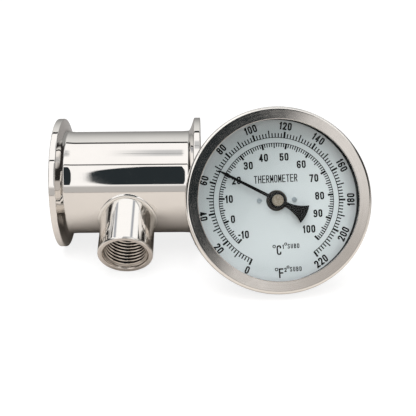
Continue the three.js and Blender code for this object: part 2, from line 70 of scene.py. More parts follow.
# Dial print, in millimetres and degrees clockwise from straight up
SCALE_START = -154.4
SCALE_PER_F = 1.365
F_RANGE = (0, 220)
C_RANGE = (-10, 100)
F_PER_C = 1.8
F_AT_ZERO_C = 32
PRINT_LIFT = 0.004
PRINT_THICKNESS = 0.02
TEXT_TURN = -1.0  # the wording stands a little anticlockwise of the dial's own upright
OUTER_ARC = (28.65, 0.3)  # radius and width of the Fahrenheit scale's line
INNER_ARC = (26.1, 0.28)
OUTER_TICK_FOOT = 28.6
INNER_TICK_FOOT = 26.15
# Ends and widths of the ticks, longest interval first
OUTER_TICKS = {20: (31.5, 0.9), 10: (31.9, 0.58), 2: (30.65, 0.56)}
INNER_TICKS = {10: (23.6, 0.9), 5: (23.75, 0.56), 1: (24.4, 0.5)}
OUTER_NUMBER_STEP = 20
INNER_NUMBER_STEP = 10
OUTER_NUMBER_RADIUS = 34.05
INNER_NUMBER_RADIUS = 20.6
INNER_NUMBER_DRIFT = 0.01  # inwards, for each degree Celsius
LOW_NUMBER_RADIUS = 21.6  # the numbers up to the limit below stand nearer to their ticks
LOW_NUMBER_LIMIT = 10

# Lettering: letter height, letter width, stroke width and, where it differs, the gap between letters
NUMBER_SIZE = (3.5, 1.85, 0.7)
TITLE_SIZE = (3.5, 1.5, 0.43)
UNIT_SIZE = (4.4, 2.15, 0.68)
DEGREE_SIZE = (1.5, 1.5, 0.4)
STEP_SIZE = (1.9, 1.1, 0.4)
STEP_DEGREE_SIZE = (1.3, 1.3, 0.36)
STEP_WORD_SIZE = (2.1, 1.0, 0.36, 0.45)
TITLE_PLACE = Vector((0.0, 9.9))
UNITS = (("C", "1", Vector((0.05, -22.4))), ("F", "2", Vector((0.65, -32.8))))  # unit, its step, place
LETTER_GAP = 0.22  # as a share of a letter's width
STROKE_CAP = 0.48  # a stroke runs on past its end by this share of its width
BEND_REACH = 0.48  # a letter's corner is rounded off by this share of the letter's width
BEND_STEPS = 4

# Stroke lettering on a grid 4 wide and 8 high. Corners inside a stroke are rounded off,
# and a sharp corner is where two strokes meet.
LOOP = [(2, 8), (4, 8), (4, 0), (0, 0), (0, 8), (2, 8)]
STEM = [(0, 0), (0, 8)]
TOP_BAR = [(0, 8), (4, 8)]
MIDDLE_BAR = [(0, 4.2), (3.6, 4.2)]
GRID_WIDTH = 4
GRID_HEIGHT = 8
GLYPHS = {
    "0": [LOOP],
    "1": [[(0, 6.4), (3, 8)], [(3, 8), (3, 0)]],
    "2": [[(0, 6.5), (0, 8), (4, 8), (4, 4.8), (0, 0)], [(0, 0), (4, 0)]],
    "3": [[(0, 6.7), (0, 8), (4, 8), (4, 4.3), (1.4, 4.3)],
          [(1.4, 4.3), (4, 4.3), (4, 0), (0, 0), (0, 1.3)]],
    "4": [[(3, 0), (3, 8)], [(3, 8), (0, 2)], [(0, 2), (4, 2)]],
    "5": [[(3.8, 8), (0.2, 8)], [(0.2, 8), (0.2, 4.2)],
          [(0.2, 4.2), (1.2, 5), (4, 5), (4, 0), (0, 0), (0, 1.6)]],
    "6": [[(4, 7.1), (4, 8), (0, 8), (0, 0), (4, 0), (4, 4.3), (0, 4.3), (0, 3)]],
    "7": [TOP_BAR, [(4, 8), (1.6, 0)]],
    "8": [[(2, 8), (4, 8), (4, 4.3), (0, 4.3), (0, 8), (2, 8)],
          [(2, 4.3), (4, 4.3), (4, 0), (0, 0), (0, 4.3), (2, 4.3)]],
    "9": [[(0, 0.9), (0, 0), (4, 0), (4, 8), (0, 8), (0, 3.7), (4, 3.7), (4, 5)]],
    "-": [[(0, 3.6), (4, 3.6)]],
    "o": [LOOP],
    "B": [STEM, [(0, 8), (4, 8), (4, 4.3), (0, 4.3)], [(0, 4.3), (4, 4.3), (4, 0), (0, 0)]],
    "C": [[(4, 6.3), (4, 8), (0, 8), (0, 0), (4, 0), (4, 1.7)]],
    "D": [STEM, [(0, 8), (4, 8), (4, 0), (0, 0)]],
    "E": [STEM, TOP_BAR, MIDDLE_BAR, [(0, 0), (4, 0)]],
    "F": [STEM, TOP_BAR, MIDDLE_BAR],
    "H": [STEM, [(0, 4.2), (4, 4.2)], [(4, 0), (4, 8)]],
    "M": [STEM, [(0, 8), (2, 2)], [(2, 2), (4, 8)], [(4, 8), (4, 0)]],
    "O": [LOOP],
    "R": [STEM, [(0, 8), (4, 8), (4, 4), (0, 4)], [(1.8, 4), (4, 0)]],
    "S": [[(4, 6.8), (4, 8), (0, 8), (0, 4.8), (4, 3.2), (4, 0), (0, 0), (0, 1.2)]],
    "T": [TOP_BAR, [(2, 8), (2, 0)]],
    "U": [[(0, 8), (0, 0), (4, 0), (4, 8)]],
}
NARROW = {"1": 0.62, "-": 0.6}  # letters that take a share of the usual width
C_LABEL_TURN = {-10: 2.0, 40: -2.4, 90: -1.2, 100: -1.6}  # degrees that a number stands aside from its tick

# ---- axes


def axis_matrix(origin, forward, upward):
    """Local millimetres to row metres: Z runs along forward, and Y as near as it can to upward."""
    z = Vector(forward).normalized()
    y = (Vector(upward) - z * z.dot(Vector(upward))).normalized()
    x = y.cross(z)
    turn = Matrix((x, y, z)).transposed().to_4x4()
    return Matrix.Translation(origin) @ turn @ Matrix.Scale(MM, 4)


UP = Vector((0, 0, 1))
TEE_AXIS = Vector((1, 0, 0))
joints = {joint["name"]: joint for joint in frame["joints"]}
mounts = {mount["name"]: mount for mount in frame["record"]["mounts"]}
reader_side = -Vector(joints["pointer_turn"]["axis"])
HEAD = axis_matrix(joints["pointer_turn"]["pos_m"], reader_side, UP)
CALIBRATION = axis_matrix(joints["calibration_turn"]["pos_m"], reader_side, UP)
tee_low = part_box("ferrule_left")[0]
tee_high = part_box("ferrule_right")[1]
tee_middle = (tee_low + tee_high) / 2
TEE = axis_matrix(tee_middle, TEE_AXIS, UP)
LEFT_END = axis_matrix((tee_low.x, tee_middle.y, tee_middle.z), TEE_AXIS, UP)
RIGHT_END = axis_matrix((tee_high.x, tee_middle.y, tee_middle.z), -TEE_AXIS, UP)
BOSS = axis_matrix(tee_middle, mounts["boss_mouth_face"]["axis"], UP)


def local_points(node, place):
    inverse = place.inverted()
    return [inverse @ vertex.co for vertex in frame["nodes"][node].data.vertices]


def measure(node, place):
    """A CAD node's least and greatest radius and height about an axis, in millimetres."""
    points = local_points(node, place)
    reaches = [math.hypot(point.x, point.y) for point in points]
    heights = [point.z for point in points]
    return min(reaches), max(reaches), min(heights), max(heights)


# ---- mesh helpers


def new_piece(name, build, material):
    """Turns finished bmesh work into a smooth-shaded object."""
    bmesh.ops.recalc_face_normals(build, faces=build.faces)
    mesh = bpy.data.meshes.new(name)
    build.to_mesh(mesh)
    build.free()
    mesh.shade_smooth()
    mesh.set_sharp_from_angle(angle=SMOOTH_ANGLE)
    mesh.materials.append(material)
    piece = bpy.data.objects.new(name, mesh)
    bpy.context.scene.collection.objects.link(piece)
    return piece


def place_piece(piece, body, slot, *nodes):
    """Says which body a piece rides on and which CAD nodes it stands for; slot is not used."""
    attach(piece, body)
    if nodes:
        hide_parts(*nodes)


def rounded(corners):
    """A closed profile from (radius, height, rounding) corners, with support points beside curves."""
    points = []
    for index, (radius, height, rounding) in enumerate(corners):
        here = Vector((radius, height))
        if rounding == 0:
            points.append((radius, height))
            continue
        before = Vector(corners[index - 1][:2]) - here
        after = Vector(corners[(index + 1) % len(corners)][:2]) - here
        reach = min(rounding, 0.38 * before.length, 0.38 * after.length)
        start = here + before.normalized() * reach
        end = here + after.normalized() * reach
        points.append(tuple(here + before.normalized() * reach * SUPPORT))
        for step in range(CORNER_STEPS + 1):
            share = step / CORNER_STEPS
            point = start * (1 - share) ** 2 + here * 2 * share * (1 - share) + end * share ** 2
            points.append(tuple(point))
        points.append(tuple(here + after.normalized() * reach * SUPPORT))
    return points


def turned_mesh(build, profile, place, sides):
    """Adds a closed turned surface. A profile point is (radius, height) or a function of angle."""
    rings = []
    for point in profile:
        on_axis = not callable(point) and point[0] < 1e-6
        ring = []
        for side in range(1 if on_axis else sides):
            angle = 2 * pi * side / sides
            radius, height = point(angle) if callable(point) else point
            local = Vector((radius * cos(angle), radius * sin(angle), height))
            ring.append(build.verts.new(place @ local))
        rings.append(ring)
    for ring, following in zip(rings, rings[1:] + rings[:1]):
        if len(ring) == 1 and len(following) == 1:
            continue
        for side in range(sides):
            after = side + 1
            corners = [
                ring[side % len(ring)],
                ring[after % len(ring)],
                following[after % len(following)],
                following[side % len(following)],
            ]
            build.faces.new(list(dict.fromkeys(corners)))


def turned(name, profile, place, material, sides=SIDES):
    build = bmesh.new()
    turned_mesh(build, profile, place, sides)
    return new_piece(name, build, material)


def head_piece(name, profile, material, slot, *nodes, sides=SIDES):
    """A turned piece about the head's axis that is fixed to the thermometer."""
    place_piece(turned(name, profile, HEAD, material, sides), "thermometer_head", slot, *nodes)


def bake(piece):
    """Replaces a piece's mesh by what its modifiers make of it."""
    graph = bpy.context.evaluated_depsgraph_get()
    mesh = bpy.data.meshes.new_from_object(piece.evaluated_get(graph))
    piece.modifiers.clear()
    piece.data = mesh


def cut(piece, cutter):
    """Cuts one closed mesh out of another, and removes the cutter."""
    modifier = piece.modifiers.new("cut", "BOOLEAN")
    modifier.operation = "DIFFERENCE"
    modifier.solver = "EXACT"
    modifier.object = cutter
    bake(piece)
    bpy.data.objects.remove(cutter)


def thread_wave(phase):
    """Height of a thread's flank, from 0 at its root to 1 at its crest, with flats on both."""
    share = phase % 1
    slope = 2 * share if share < 0.5 else 2 * (1 - share)
    return min(1, max(0, 1.25 * slope - 0.125))


def thread_rows(start, direction, length, base_radius, depth):
    """Profile rows of a right-handed helical thread that runs from start along direction.

    base_radius is the radius of the plain end of the thread's flanks, and depth, which is
    negative for a female thread, is added at each crest. It fades out at both ends.
    """
    rows = int(length / THREAD_PITCH * THREAD_ROWS)

    def row(index):
        run = length * index / rows
        height = start + direction * run
        strength = min(1, run / THREAD_FADE, (length - run) / THREAD_FADE)

        def point(angle):
            phase = height / THREAD_PITCH - angle / (2 * pi)
            radius = base_radius - run * THREAD_TAPER + depth * strength * thread_wave(phase)
            return radius, height

        return point

    return [row(index) for index in range(rows + 1)]


# ---- material helpers


class Graph:
    """Builds one node tree from short calls. Each call gives the new node's output socket."""

    def __init__(self, tree):
        self.tree = tree

    def node(self, kind, *values, **settings):
        """A new node with its settings made and its first sockets fed, in their order."""
        node = self.tree.nodes.new(kind)
        for key, value in settings.items():
            setattr(node, key, value)
        for socket, value in zip(node.inputs, values):
            self.feed(socket, value)
        return node

    def feed(self, socket, value):
        if isinstance(value, bpy.types.NodeSocket):
            self.tree.links.new(value, socket)
        else:
            socket.default_value = value

    def math(self, operation, *values):
        return self.node("ShaderNodeMath", *values, operation=operation).outputs[0]

    def plus(self, first, second):
        return self.math("ADD", first, second)

    def times(self, first, second):
        return self.math("MULTIPLY", first, second)

    def slope(self, value, factor, offset):
        return self.math("MULTIPLY_ADD", value, factor, offset)

    def size(self, value):
        return self.math("ABSOLUTE", value)

    def vector(self, operation, *values):
        node = self.node("ShaderNodeVectorMath", *values, operation=operation)
        return node.outputs["Value" if operation == "DOT_PRODUCT" else "Vector"]

    def combine(self, x, y, z):
        return self.node("ShaderNodeCombineXYZ", x, y, z).outputs[0]

    def step(self, value, low, high, at_low=0.0, at_high=1.0):
        """A smooth step from at_low to at_high as value goes from low to high."""
        sockets = (value, low, high, at_low, at_high)
        return self.node("ShaderNodeMapRange", *sockets, interpolation_type="SMOOTHSTEP").outputs[0]

    def band(self, value, low, high, soft):
        """1 between low and high, with soft edges, and 0 elsewhere."""
        rise = self.step(value, low - soft, low + soft)
        fall = self.step(value, high - soft, high + soft, 1.0, 0.0)
        return self.times(rise, fall)

    def noise(self, coordinates, scale, detail=3.0, roughness=0.5):
        node = self.node("ShaderNodeTexNoise", coordinates)
        for name, value in (("Scale", scale), ("Detail", detail), ("Roughness", roughness)):
            self.feed(node.inputs[name], value)
        return node.outputs["Fac"]

    def mix(self, factor, first, second):
        node = self.node("ShaderNodeMix", factor, data_type="RGBA")
        self.feed(node.inputs[6], first)
        self.feed(node.inputs[7], second)
        return node.outputs[2]

    def bump(self, height, distance):
        node = self.node("ShaderNodeBump")
        self.feed(node.inputs["Height"], height)
        node.inputs["Distance"].default_value = distance * MM
        return node.outputs[0]

    def position(self):
        return self.node("ShaderNodeTexCoord").outputs["Object"]

    def shade(self, **values):
        """Feeds the Principled shader's sockets."""
        for key, value in values.items():
            self.feed(self.shader.inputs[key.replace("_", " ")], value)

    def local(self, place):
        """The surface point in the millimetres of one axis: across, up and along it."""
        inverse = place.inverted()
        position = self.position()
        parts = []
        for row in range(3):
            dot = self.vector("DOT_PRODUCT", position, inverse[row].to_3d())
            parts.append(self.plus(dot, inverse[row][3]))
        return parts

    def point(self, place):
        return self.combine(*self.local(place))

    def polar(self, place):
        """The surface point as radius, angle and height about one axis, in millimetres and radians."""
        x, y, z = self.local(place)
        squares = self.plus(self.times(x, x), self.times(y, y))
        return self.math("SQRT", squares), self.math("ARCTAN2", y, x), z

    def around(self, place):
        """The direction that circles one axis, as a tangent for turned or brushed metal."""
        arm = self.vector("SUBTRACT", self.position(), place.to_translation())
        return self.vector("CROSS_PRODUCT", place.col[2].to_3d().normalized(), arm)


def grey(value, warmth=0.0):
    return (value * (1 + warmth), value, value * (1 - warmth), 1)


def material(name, **sockets):
    """A material whose Principled shader has its plain sockets set, and a Graph for the rest."""
    made = bpy.data.materials.new(name)
    made.use_nodes = True
    graph = Graph(made.node_tree)
    graph.shader = made.node_tree.nodes["Principled BSDF"]
    graph.shade(**sockets)
    return made, graph


# ---- materials


def mirror_steel():
    """Mirror-polished tube and ferrules, with faint polishing lines round the tee's axis."""
    made, graph = material("mirror_polished_steel", Metallic=1.0)
    reach, angle, along = graph.polar(TEE)
    lines = graph.noise(graph.combine(graph.times(along, 9.0), angle, reach), 1.0, 4.0)
    smears = graph.noise(graph.point(TEE), 0.09, 3.0)
    smeared = graph.step(smears, 0.3, 0.75, 0.015, 0.045)
    graph.shade(
        Base_Color=graph.mix(smears, grey(0.79, 0.03), grey(0.86, 0.035)),
        Roughness=graph.plus(smeared, graph.step(lines, 0.3, 0.9, 0.0, 0.02)),
        Normal=graph.bump(lines, 0.0006),
    )
    return made


# painted highlight on a rounded outer edge, and the width over which it blends in
RIM_PAINTED_HIGHLIGHT = (0.93, 0.9, 0.86, 1)
RIM_HIGHLIGHT_BLEND = 0.4


def turned_steel(name, place, tint, roughness, pitch, depth, brushing=0.55, stain=0.78, highlight_from=None):
    """Machined or satin steel, with fine marks that circle an axis, and a painted highlight past a radius."""
    made, graph = material(name, Metallic=1.0, Anisotropic=brushing)
    reach, angle, along = graph.polar(place)
    across = graph.plus(graph.times(along, 1 / pitch), graph.times(reach, 1 / pitch))
    marks = graph.noise(graph.combine(across, graph.times(angle, 0.8), 0.0), 1.0, 5.0, 0.6)
    cloud = graph.noise(graph.point(place), 0.25, 3.0)
    dark = tuple(channel * stain for channel in tint) + (1,)
    colour = graph.mix(graph.step(marks, 0.25, 0.7), dark, (*tint, 1))
    # painted highlight: past this radius the colour turns to a bright warm white, standing in for light caught by
    # the rounded edge
    if highlight_from:
        colour = graph.mix(graph.step(reach, highlight_from, highlight_from + RIM_HIGHLIGHT_BLEND), colour, RIM_PAINTED_HIGHLIGHT)
    clouded = graph.step(cloud, 0.25, 0.75, roughness * 0.85, roughness * 1.2)
    graph.shade(
        Base_Color=colour,
        Roughness=graph.plus(clouded, graph.step(marks, 0.3, 0.8, 0.0, 0.06)),
        Normal=graph.bump(marks, depth),
        Tangent=graph.around(place),
    )
    return made


def thread_steel():
    """Cut female thread: bright crests, and painted shade in the valleys, fading out towards the mouth."""
    made, graph = material("cut_thread_steel", Metallic=1.0, Roughness=0.22)
    reach, _, along = graph.polar(BOSS)
    bore, _, _, mouth = measure("threaded_boss", BOSS)
    crest = (mouth - BOSS_TURNS * THREAD_PITCH) * THREAD_TAPER - bore
    depth = graph.plus(reach, graph.slope(along, -THREAD_TAPER, crest))
    chamfer = graph.step(along, mouth - 2.4, mouth - 1.2, 1.0, 0.0)
    # painted shade: the thread's valleys turn near black, except at the mouth and its chamfer
    painted_valley_shade = graph.times(graph.step(depth, 0.2, 0.65), chamfer)
    graph.shade(Base_Color=graph.mix(painted_valley_shade, (0.74, 0.68, 0.62, 1), (0.03, 0.025, 0.022, 1)))
    return made


def hex_steel():
    """Milled hexagon and cut thread, with short tool marks that are a little darker in their low places."""
    made, graph = material("machined_connection_steel", Metallic=1.0)
    across, up, along = graph.local(HEAD)
    marks = graph.noise(graph.combine(across, up, graph.times(along, 14.0)), 0.7, 5.0)
    graph.shade(
        Base_Color=graph.mix(marks, grey(0.5, 0.03), grey(0.72, 0.02)),
        Roughness=graph.step(marks, 0.2, 0.8, 0.2, 0.38),
        Normal=graph.bump(marks, 0.012),
    )
    return made


GLASS_GLOSS = 0.22  # share of plain glass's reflection that its coating leaves


def clear_glass():
    """Flat window glass that lets light and shadow through and adds only its own reflection."""
    made, graph = material("clear_window_glass")
    output = graph.tree.nodes["Material Output"]
    graph.tree.nodes.remove(graph.shader)
    smudge = graph.noise(graph.point(HEAD), 0.12, 4.0)
    clear = graph.node("ShaderNodeBsdfTransparent", (0.965, 0.98, 0.985, 1))
    gloss = graph.node("ShaderNodeBsdfGlossy")
    graph.feed(gloss.inputs["Roughness"], graph.step(smudge, 0.3, 0.8, 0.0, 0.05))
    fresnel = graph.times(graph.node("ShaderNodeFresnel", 1.5).outputs[0], GLASS_GLOSS)
    both = graph.node("ShaderNodeMixShader", fresnel, clear.outputs[0], gloss.outputs[0])
    graph.feed(output.inputs["Surface"], both.outputs[0])
    return made


ENAMEL_UNSHADED = (0.7, 0.73, 0.73, 1)  # the enamel where no painted shade falls, at the lower right of the dial
ENAMEL_PAINTED_SHADE = (0.43, 0.465, 0.467, 1)  # painted shade, darkest at the upper left, where the bezel would cast its shadow


def dial_enamel():
    """Pale blue-grey lacquer with painted shade from corner to corner, painted light towards its edge, and
    slightly uneven.
    """
    made, graph = material("dial_enamel", Specular_IOR_Level=0.4)
    reach, _, _ = graph.polar(HEAD)
    mottle = graph.noise(graph.point(HEAD), 0.5, 4.0)
    fine = graph.noise(graph.point(HEAD), 9.0, 2.0)
    across, up, _ = graph.local(HEAD)
    # painted shade: the colour darkens towards the upper left, standing in for the bezel's shadow
    corner = graph.math("SUBTRACT", graph.times(up, 0.75), graph.times(across, 0.66))
    painted_shade_colour = graph.mix(graph.step(corner, -18.0, 40.0), ENAMEL_UNSHADED, ENAMEL_PAINTED_SHADE)
    colour = graph.mix(mottle, painted_shade_colour, graph.mix(0.06, painted_shade_colour, grey(1.0)))
    # painted light: the colour turns whiter towards the edge, offsetting the shade under the bezel
    edge = graph.step(reach, 31.0, 36.5)
    graph.shade(
        Base_Color=graph.mix(graph.times(edge, 0.42), colour, grey(1.0)),
        Roughness=graph.step(fine, 0.3, 0.7, 0.42, 0.55),
        Normal=graph.bump(fine, 0.004),
    )
    return made


def coated(name, low, high, scale, roughness, relief, **sockets):
    """Paint, rubber, plastic or ink: two close colours in a fine noise, with matching relief."""
    made, graph = material(name, **sockets)
    grain = graph.noise(graph.position(), scale / MM, 4.0)
    graph.shade(
        Base_Color=graph.mix(grain, low, high),
        Roughness=graph.step(grain, 0.25, 0.75, *roughness),
        Normal=graph.bump(grain, relief),
    )
    return made


def hub_nickel():
    """Turned nickel hub: fine rings, scratches and a warm tint."""
    made, graph = material("hub_nickel", Metallic=0.6, Anisotropic=0.4)
    reach, angle, _ = graph.polar(HEAD)
    rings = graph.noise(graph.combine(graph.times(reach, 3.2), graph.times(angle, 0.6), 0.0), 1.0, 4.0)
    patches = graph.noise(graph.point(HEAD), 1.1, 3.0)
    blend = graph.slope(patches, 0.5, graph.times(rings, 0.5))
    graph.shade(
        Base_Color=graph.mix(graph.step(blend, 0.35, 0.62), (0.27, 0.22, 0.165, 1), (0.47, 0.4, 0.315, 1)),
        Roughness=graph.step(rings, 0.3, 0.7, 0.3, 0.45),
        Normal=graph.bump(rings, 0.02),
        Tangent=graph.around(HEAD),
    )
    return made


POLISHED = mirror_steel()
BOSS_STEEL = turned_steel("polished_boss_steel", BOSS, (0.87, 0.85, 0.82), 0.05, 0.35, 0.0002, 0.0, 0.97)
MACHINED = turned_steel("faced_rim_steel", BOSS, (0.83, 0.77, 0.72), 0.3, 0.12, 0.006)
BEZEL_TINT = (0.655, 0.62, 0.585)
# the bezel's painted highlight starts at this radius, on its rounded outer edge
BEZEL_HIGHLIGHT_FROM = 40.3
BEZEL = turned_steel("circular_brushed_steel", HEAD, BEZEL_TINT, 0.09, 0.16, 0.0015, 0.3, 0.86, BEZEL_HIGHLIGHT_FROM)
SATIN = turned_steel("satin_case_steel", HEAD, (0.74, 0.72, 0.69), 0.28, 0.3, 0.006)
STEM = turned_steel("drawn_stem_steel", HEAD, (0.76, 0.74, 0.71), 0.2, 0.5, 0.004)
SCREW = turned_steel("dial_screw_steel", HEAD, (0.62, 0.68, 0.72), 0.5, 0.1, 0.002, 0.0, 0.95)
BRASS = turned_steel("turned_brass", HEAD, (0.66, 0.46, 0.2), 0.3, 0.2, 0.008)
POST = turned_steel("dull_post_brass", HEAD, (0.1, 0.085, 0.07), 0.5, 0.2, 0.01)
COIL = turned_steel("rolled_bimetal", HEAD, (0.55, 0.47, 0.38), 0.35, 0.15, 0.006)
THREADED = thread_steel()
HEXAGON = hex_steel()
GLASS = clear_glass()
ENAMEL = dial_enamel()
NICKEL = hub_nickel()
RUBBER = coated("black_rubber", grey(0.012), grey(0.03), 0.9, (0.6, 0.8), 0.02)
PLASTIC = coated("black_plastic", grey(0.004), grey(0.009), 0.5, (0.55, 0.7), 0.008, Specular_IOR_Level=0.2)
INK = coated("black_dial_ink", grey(0.004), grey(0.009), 2.5, (0.55, 0.7), 0.002, Specular_IOR_Level=0.2)
PAINT = coated("gloss_black_paint", grey(0.004), grey(0.008), 0.6, (0.3, 0.4), 0.004,
               Specular_IOR_Level=0.1)

# ---- tee

FERRULE_RIM = 3.05
FERRULE_BACK = 4.6
FERRULE_SHOULDER = 27.4
GROOVE_RADIUS = 28.2
GROOVE_HALF_WIDTH = 1.6
GROOVE_DEPTH = 1.2
TUBE_STEP = 1.0
WELD_RADIUS = 0.95
WELD_OFFSET = 0.65
WELD_STEPS = 16
COPE_RADIUS = 24.6
COPE_ROWS = (COPE_RADIUS, 25.0, 27.0)  # the boss's outside, level by level: curved like the tube at first
BOSS_ROWS = (29.0, 34.0, 40.0)
BOSS_EDGE = 0.5  # the polished outside is broken this far from the faced rim
THREAD_INSET = 0.7  # depth of the plain mouth above the female thread
NECK_FLARE = 0.1  # the tube swells a little towards its welds
FLARE_LENGTH = 2.4
HOLE_CUTTER_LENGTH = 40


def ferrule(name, place):
    """A clamp ferrule: sealing face with its gasket groove, rim, sloping back and flared neck."""
    bore, rim, face, end = measure(name, place)
    tube = measure("spool_tube", TEE)[1]
    profile = rounded([
        (bore, face, 0.25),
        (GROOVE_RADIUS - GROOVE_HALF_WIDTH, face, 0.3),
        (GROOVE_RADIUS, face + GROOVE_DEPTH, 1.0),
        (GROOVE_RADIUS + GROOVE_HALF_WIDTH, face, 0.3),
        (rim, face, 0.45),
        (rim, face + FERRULE_RIM, 0.45),
        (FERRULE_SHOULDER, face + FERRULE_BACK, 0.7),
        (tube + NECK_FLARE + 0.1, face + FERRULE_BACK + 1.0, 1.3),
        (tube + NECK_FLARE, end, 0),
        (bore, end, 0),
    ])
    place_piece(turned(name + "_turned", profile, place, POLISHED), "pipe_tee", "tee_steel", name)


def spool_tube():
    """The tube, ringed every millimetre so that the hole for the boss spoils no reflection."""
    bore, outside, _, _ = measure("spool_tube", TEE)
    half = (tee_high.x - tee_low.x) / 2 / MM - measure("ferrule_left", LEFT_END)[3]
    count = int(2 * half / TUBE_STEP)
    heights = [half * (2 * step / count - 1) for step in range(count + 1)]
    profile = []
    for height in heights:
        closeness = max(0, 1 - (half - abs(height)) / FLARE_LENGTH)
        profile.append((outside + NECK_FLARE * closeness ** 2, height))
    profile += [(bore, height) for height in reversed(heights)]
    piece = turned("spool_tube_wall", profile, TEE, POLISHED)
    hole_radius = measure("threaded_boss", BOSS)[0]
    cutter = [(0, 0), (hole_radius, 0), (hole_radius, HOLE_CUTTER_LENGTH), (0, HOLE_CUTTER_LENGTH)]
    cut(piece, turned("hole_cutter", cutter, BOSS, POLISHED, SIDES_SMALL))
    place_piece(piece, "pipe_tee", "tee_steel", "spool_tube")


def saddle(radius, tube_radius, extra=0.0):
    """A function of angle: where a circle about the boss's axis meets a cylinder about the tee's."""
    def point(angle):
        lateral = radius * sin(angle)
        return radius, math.sqrt(tube_radius ** 2 - lateral ** 2) + extra
    return point


def threaded_boss():
    """The boss: polished outside, faced rim, chamfered mouth and helical taper thread."""
    bore, outside, _, mouth = measure("threaded_boss", BOSS)
    thread_length = BOSS_TURNS * THREAD_PITCH
    major = bore + THREAD_DEPTH + thread_length * THREAD_TAPER
    root = major - 0.05
    rim = [
        (outside, mouth - 1.2),
        (outside, mouth - BOSS_EDGE),
        (outside - 0.1, mouth - 0.22),
        (outside - 0.35, mouth),
        (outside - BOSS_EDGE, mouth),
        (major + 0.55, mouth),
        (major + 0.4, mouth),
        (major + 0.25, mouth - 0.1),
        (root, mouth - 0.55),
    ]
    inside = thread_rows(mouth - THREAD_INSET, -1, thread_length, root, -THREAD_DEPTH)
    end = mouth - THREAD_INSET - thread_length
    profile = [saddle(outside, radius) for radius in COPE_ROWS]
    profile += [(outside, height) for height in BOSS_ROWS]
    profile += rim + inside + [(bore, end - 0.5), (bore, end - 1.0), saddle(bore, COPE_RADIUS)]
    piece = turned("threaded_boss_turned", profile, BOSS, BOSS_STEEL)
    piece.data.materials.append(MACHINED)
    piece.data.materials.append(THREADED)
    inverse = BOSS.inverted()
    for face in piece.data.polygons:
        middle = inverse @ face.center
        if math.hypot(middle.x, middle.y) < major + 0.2:
            face.material_index = 2
        elif middle.z > mouth - 0.05:
            face.material_index = 1
    place_piece(piece, "pipe_tee", "tee_steel", "threaded_boss")


def boss_weld():
    """The polished weld lip that follows the saddle between tube and boss."""
    tube = measure("spool_tube", TEE)[1]
    outside = measure("threaded_boss", BOSS)[1]
    profile = []
    for step in range(WELD_STEPS):
        turn = 2 * pi * step / WELD_STEPS
        reach = outside + WELD_OFFSET + WELD_RADIUS * cos(turn)
        lift = WELD_RADIUS * 0.5 * sin(turn)
        profile.append(saddle(reach, tube, lift))
    place_piece(turned("boss_weld_lip", profile, BOSS, BOSS_STEEL), "pipe_tee", "tee_steel")


# ---- case and window


WALL = 0.8  # sheet thickness of the case and bezel
FACET_SAG = 0.11  # keeps the rounder bezel inside the faceted CAD one
BEZEL_BEVEL = 1.2
BEZEL_ROLL_RADIUS = 39.7
CASE_RADIUS = 39.3
CASE_CORNER = 4.2
CASE_RING = 24.0  # radius of the ring pressed into the back
CASE_RING_DEPTH = 0.45


def bezel():
    """The rolled bezel: flat brushed front, rounded outer edge, and a roll behind the case flange."""
    window, outside, back, front = measure("bezel_ring", HEAD)
    outside -= FACET_SAG
    profile = rounded([
        (window, front - WALL, 0.22),
        (window, front, 0.28),
        (outside - BEZEL_BEVEL, front, 0.4),
        (outside - 0.35, front - 0.4, 0.5),
        (outside, front - BEZEL_BEVEL, 0.5),
        (outside, back, 0.7),
        (BEZEL_ROLL_RADIUS, back, 0.2),
        (BEZEL_ROLL_RADIUS, back + WALL, 0.2),
        (outside - WALL, back + WALL, 0.3),
        (outside - WALL, front - WALL, 0.4),
    ])
    head_piece("bezel_ring_rolled", profile, BEZEL, "bezel_steel", "bezel_ring", sides=256)


SPACER_LIP = 0.4  # reaches this much further in than the CAD spacer, as a dark line round the dial
SPACER_FOOT = 1.6


def window_stack():
    """Gasket, glass and the black spacer that holds the glass off the dial."""
    inner, outer, back, front = measure("lens_gasket", HEAD)
    gasket = rounded([(inner, back, 0.25), (outer, back, 0.1), (outer, front, 0.1), (inner, front, 0.25)])
    head_piece("window_gasket", gasket, RUBBER, "gasket_rubber", "lens_gasket")
    _, outer, back, front = measure("glass_lens", HEAD)
    glass = rounded([(0, back, 0), (outer, back, 0.2), (outer, front, 0.2), (0, front, 0)])
    head_piece("window_glass", glass, GLASS, "lens_glass", "glass_lens")
    inner, outer, back, front = measure("spacer_ring", HEAD)
    inner -= SPACER_LIP
    shoulder = measure("case_shell", HEAD)[3] + 0.3
    foot = inner + SPACER_FOOT
    spacer = rounded([
        (inner, back, 0.2), (foot, back, 0.1), (foot, shoulder, 0.1),
        (outer, shoulder, 0.1), (outer, front, 0.15), (inner, front, 0.25),
    ])
    head_piece("window_spacer", spacer, PLASTIC, "spacer_plastic", "spacer_ring")


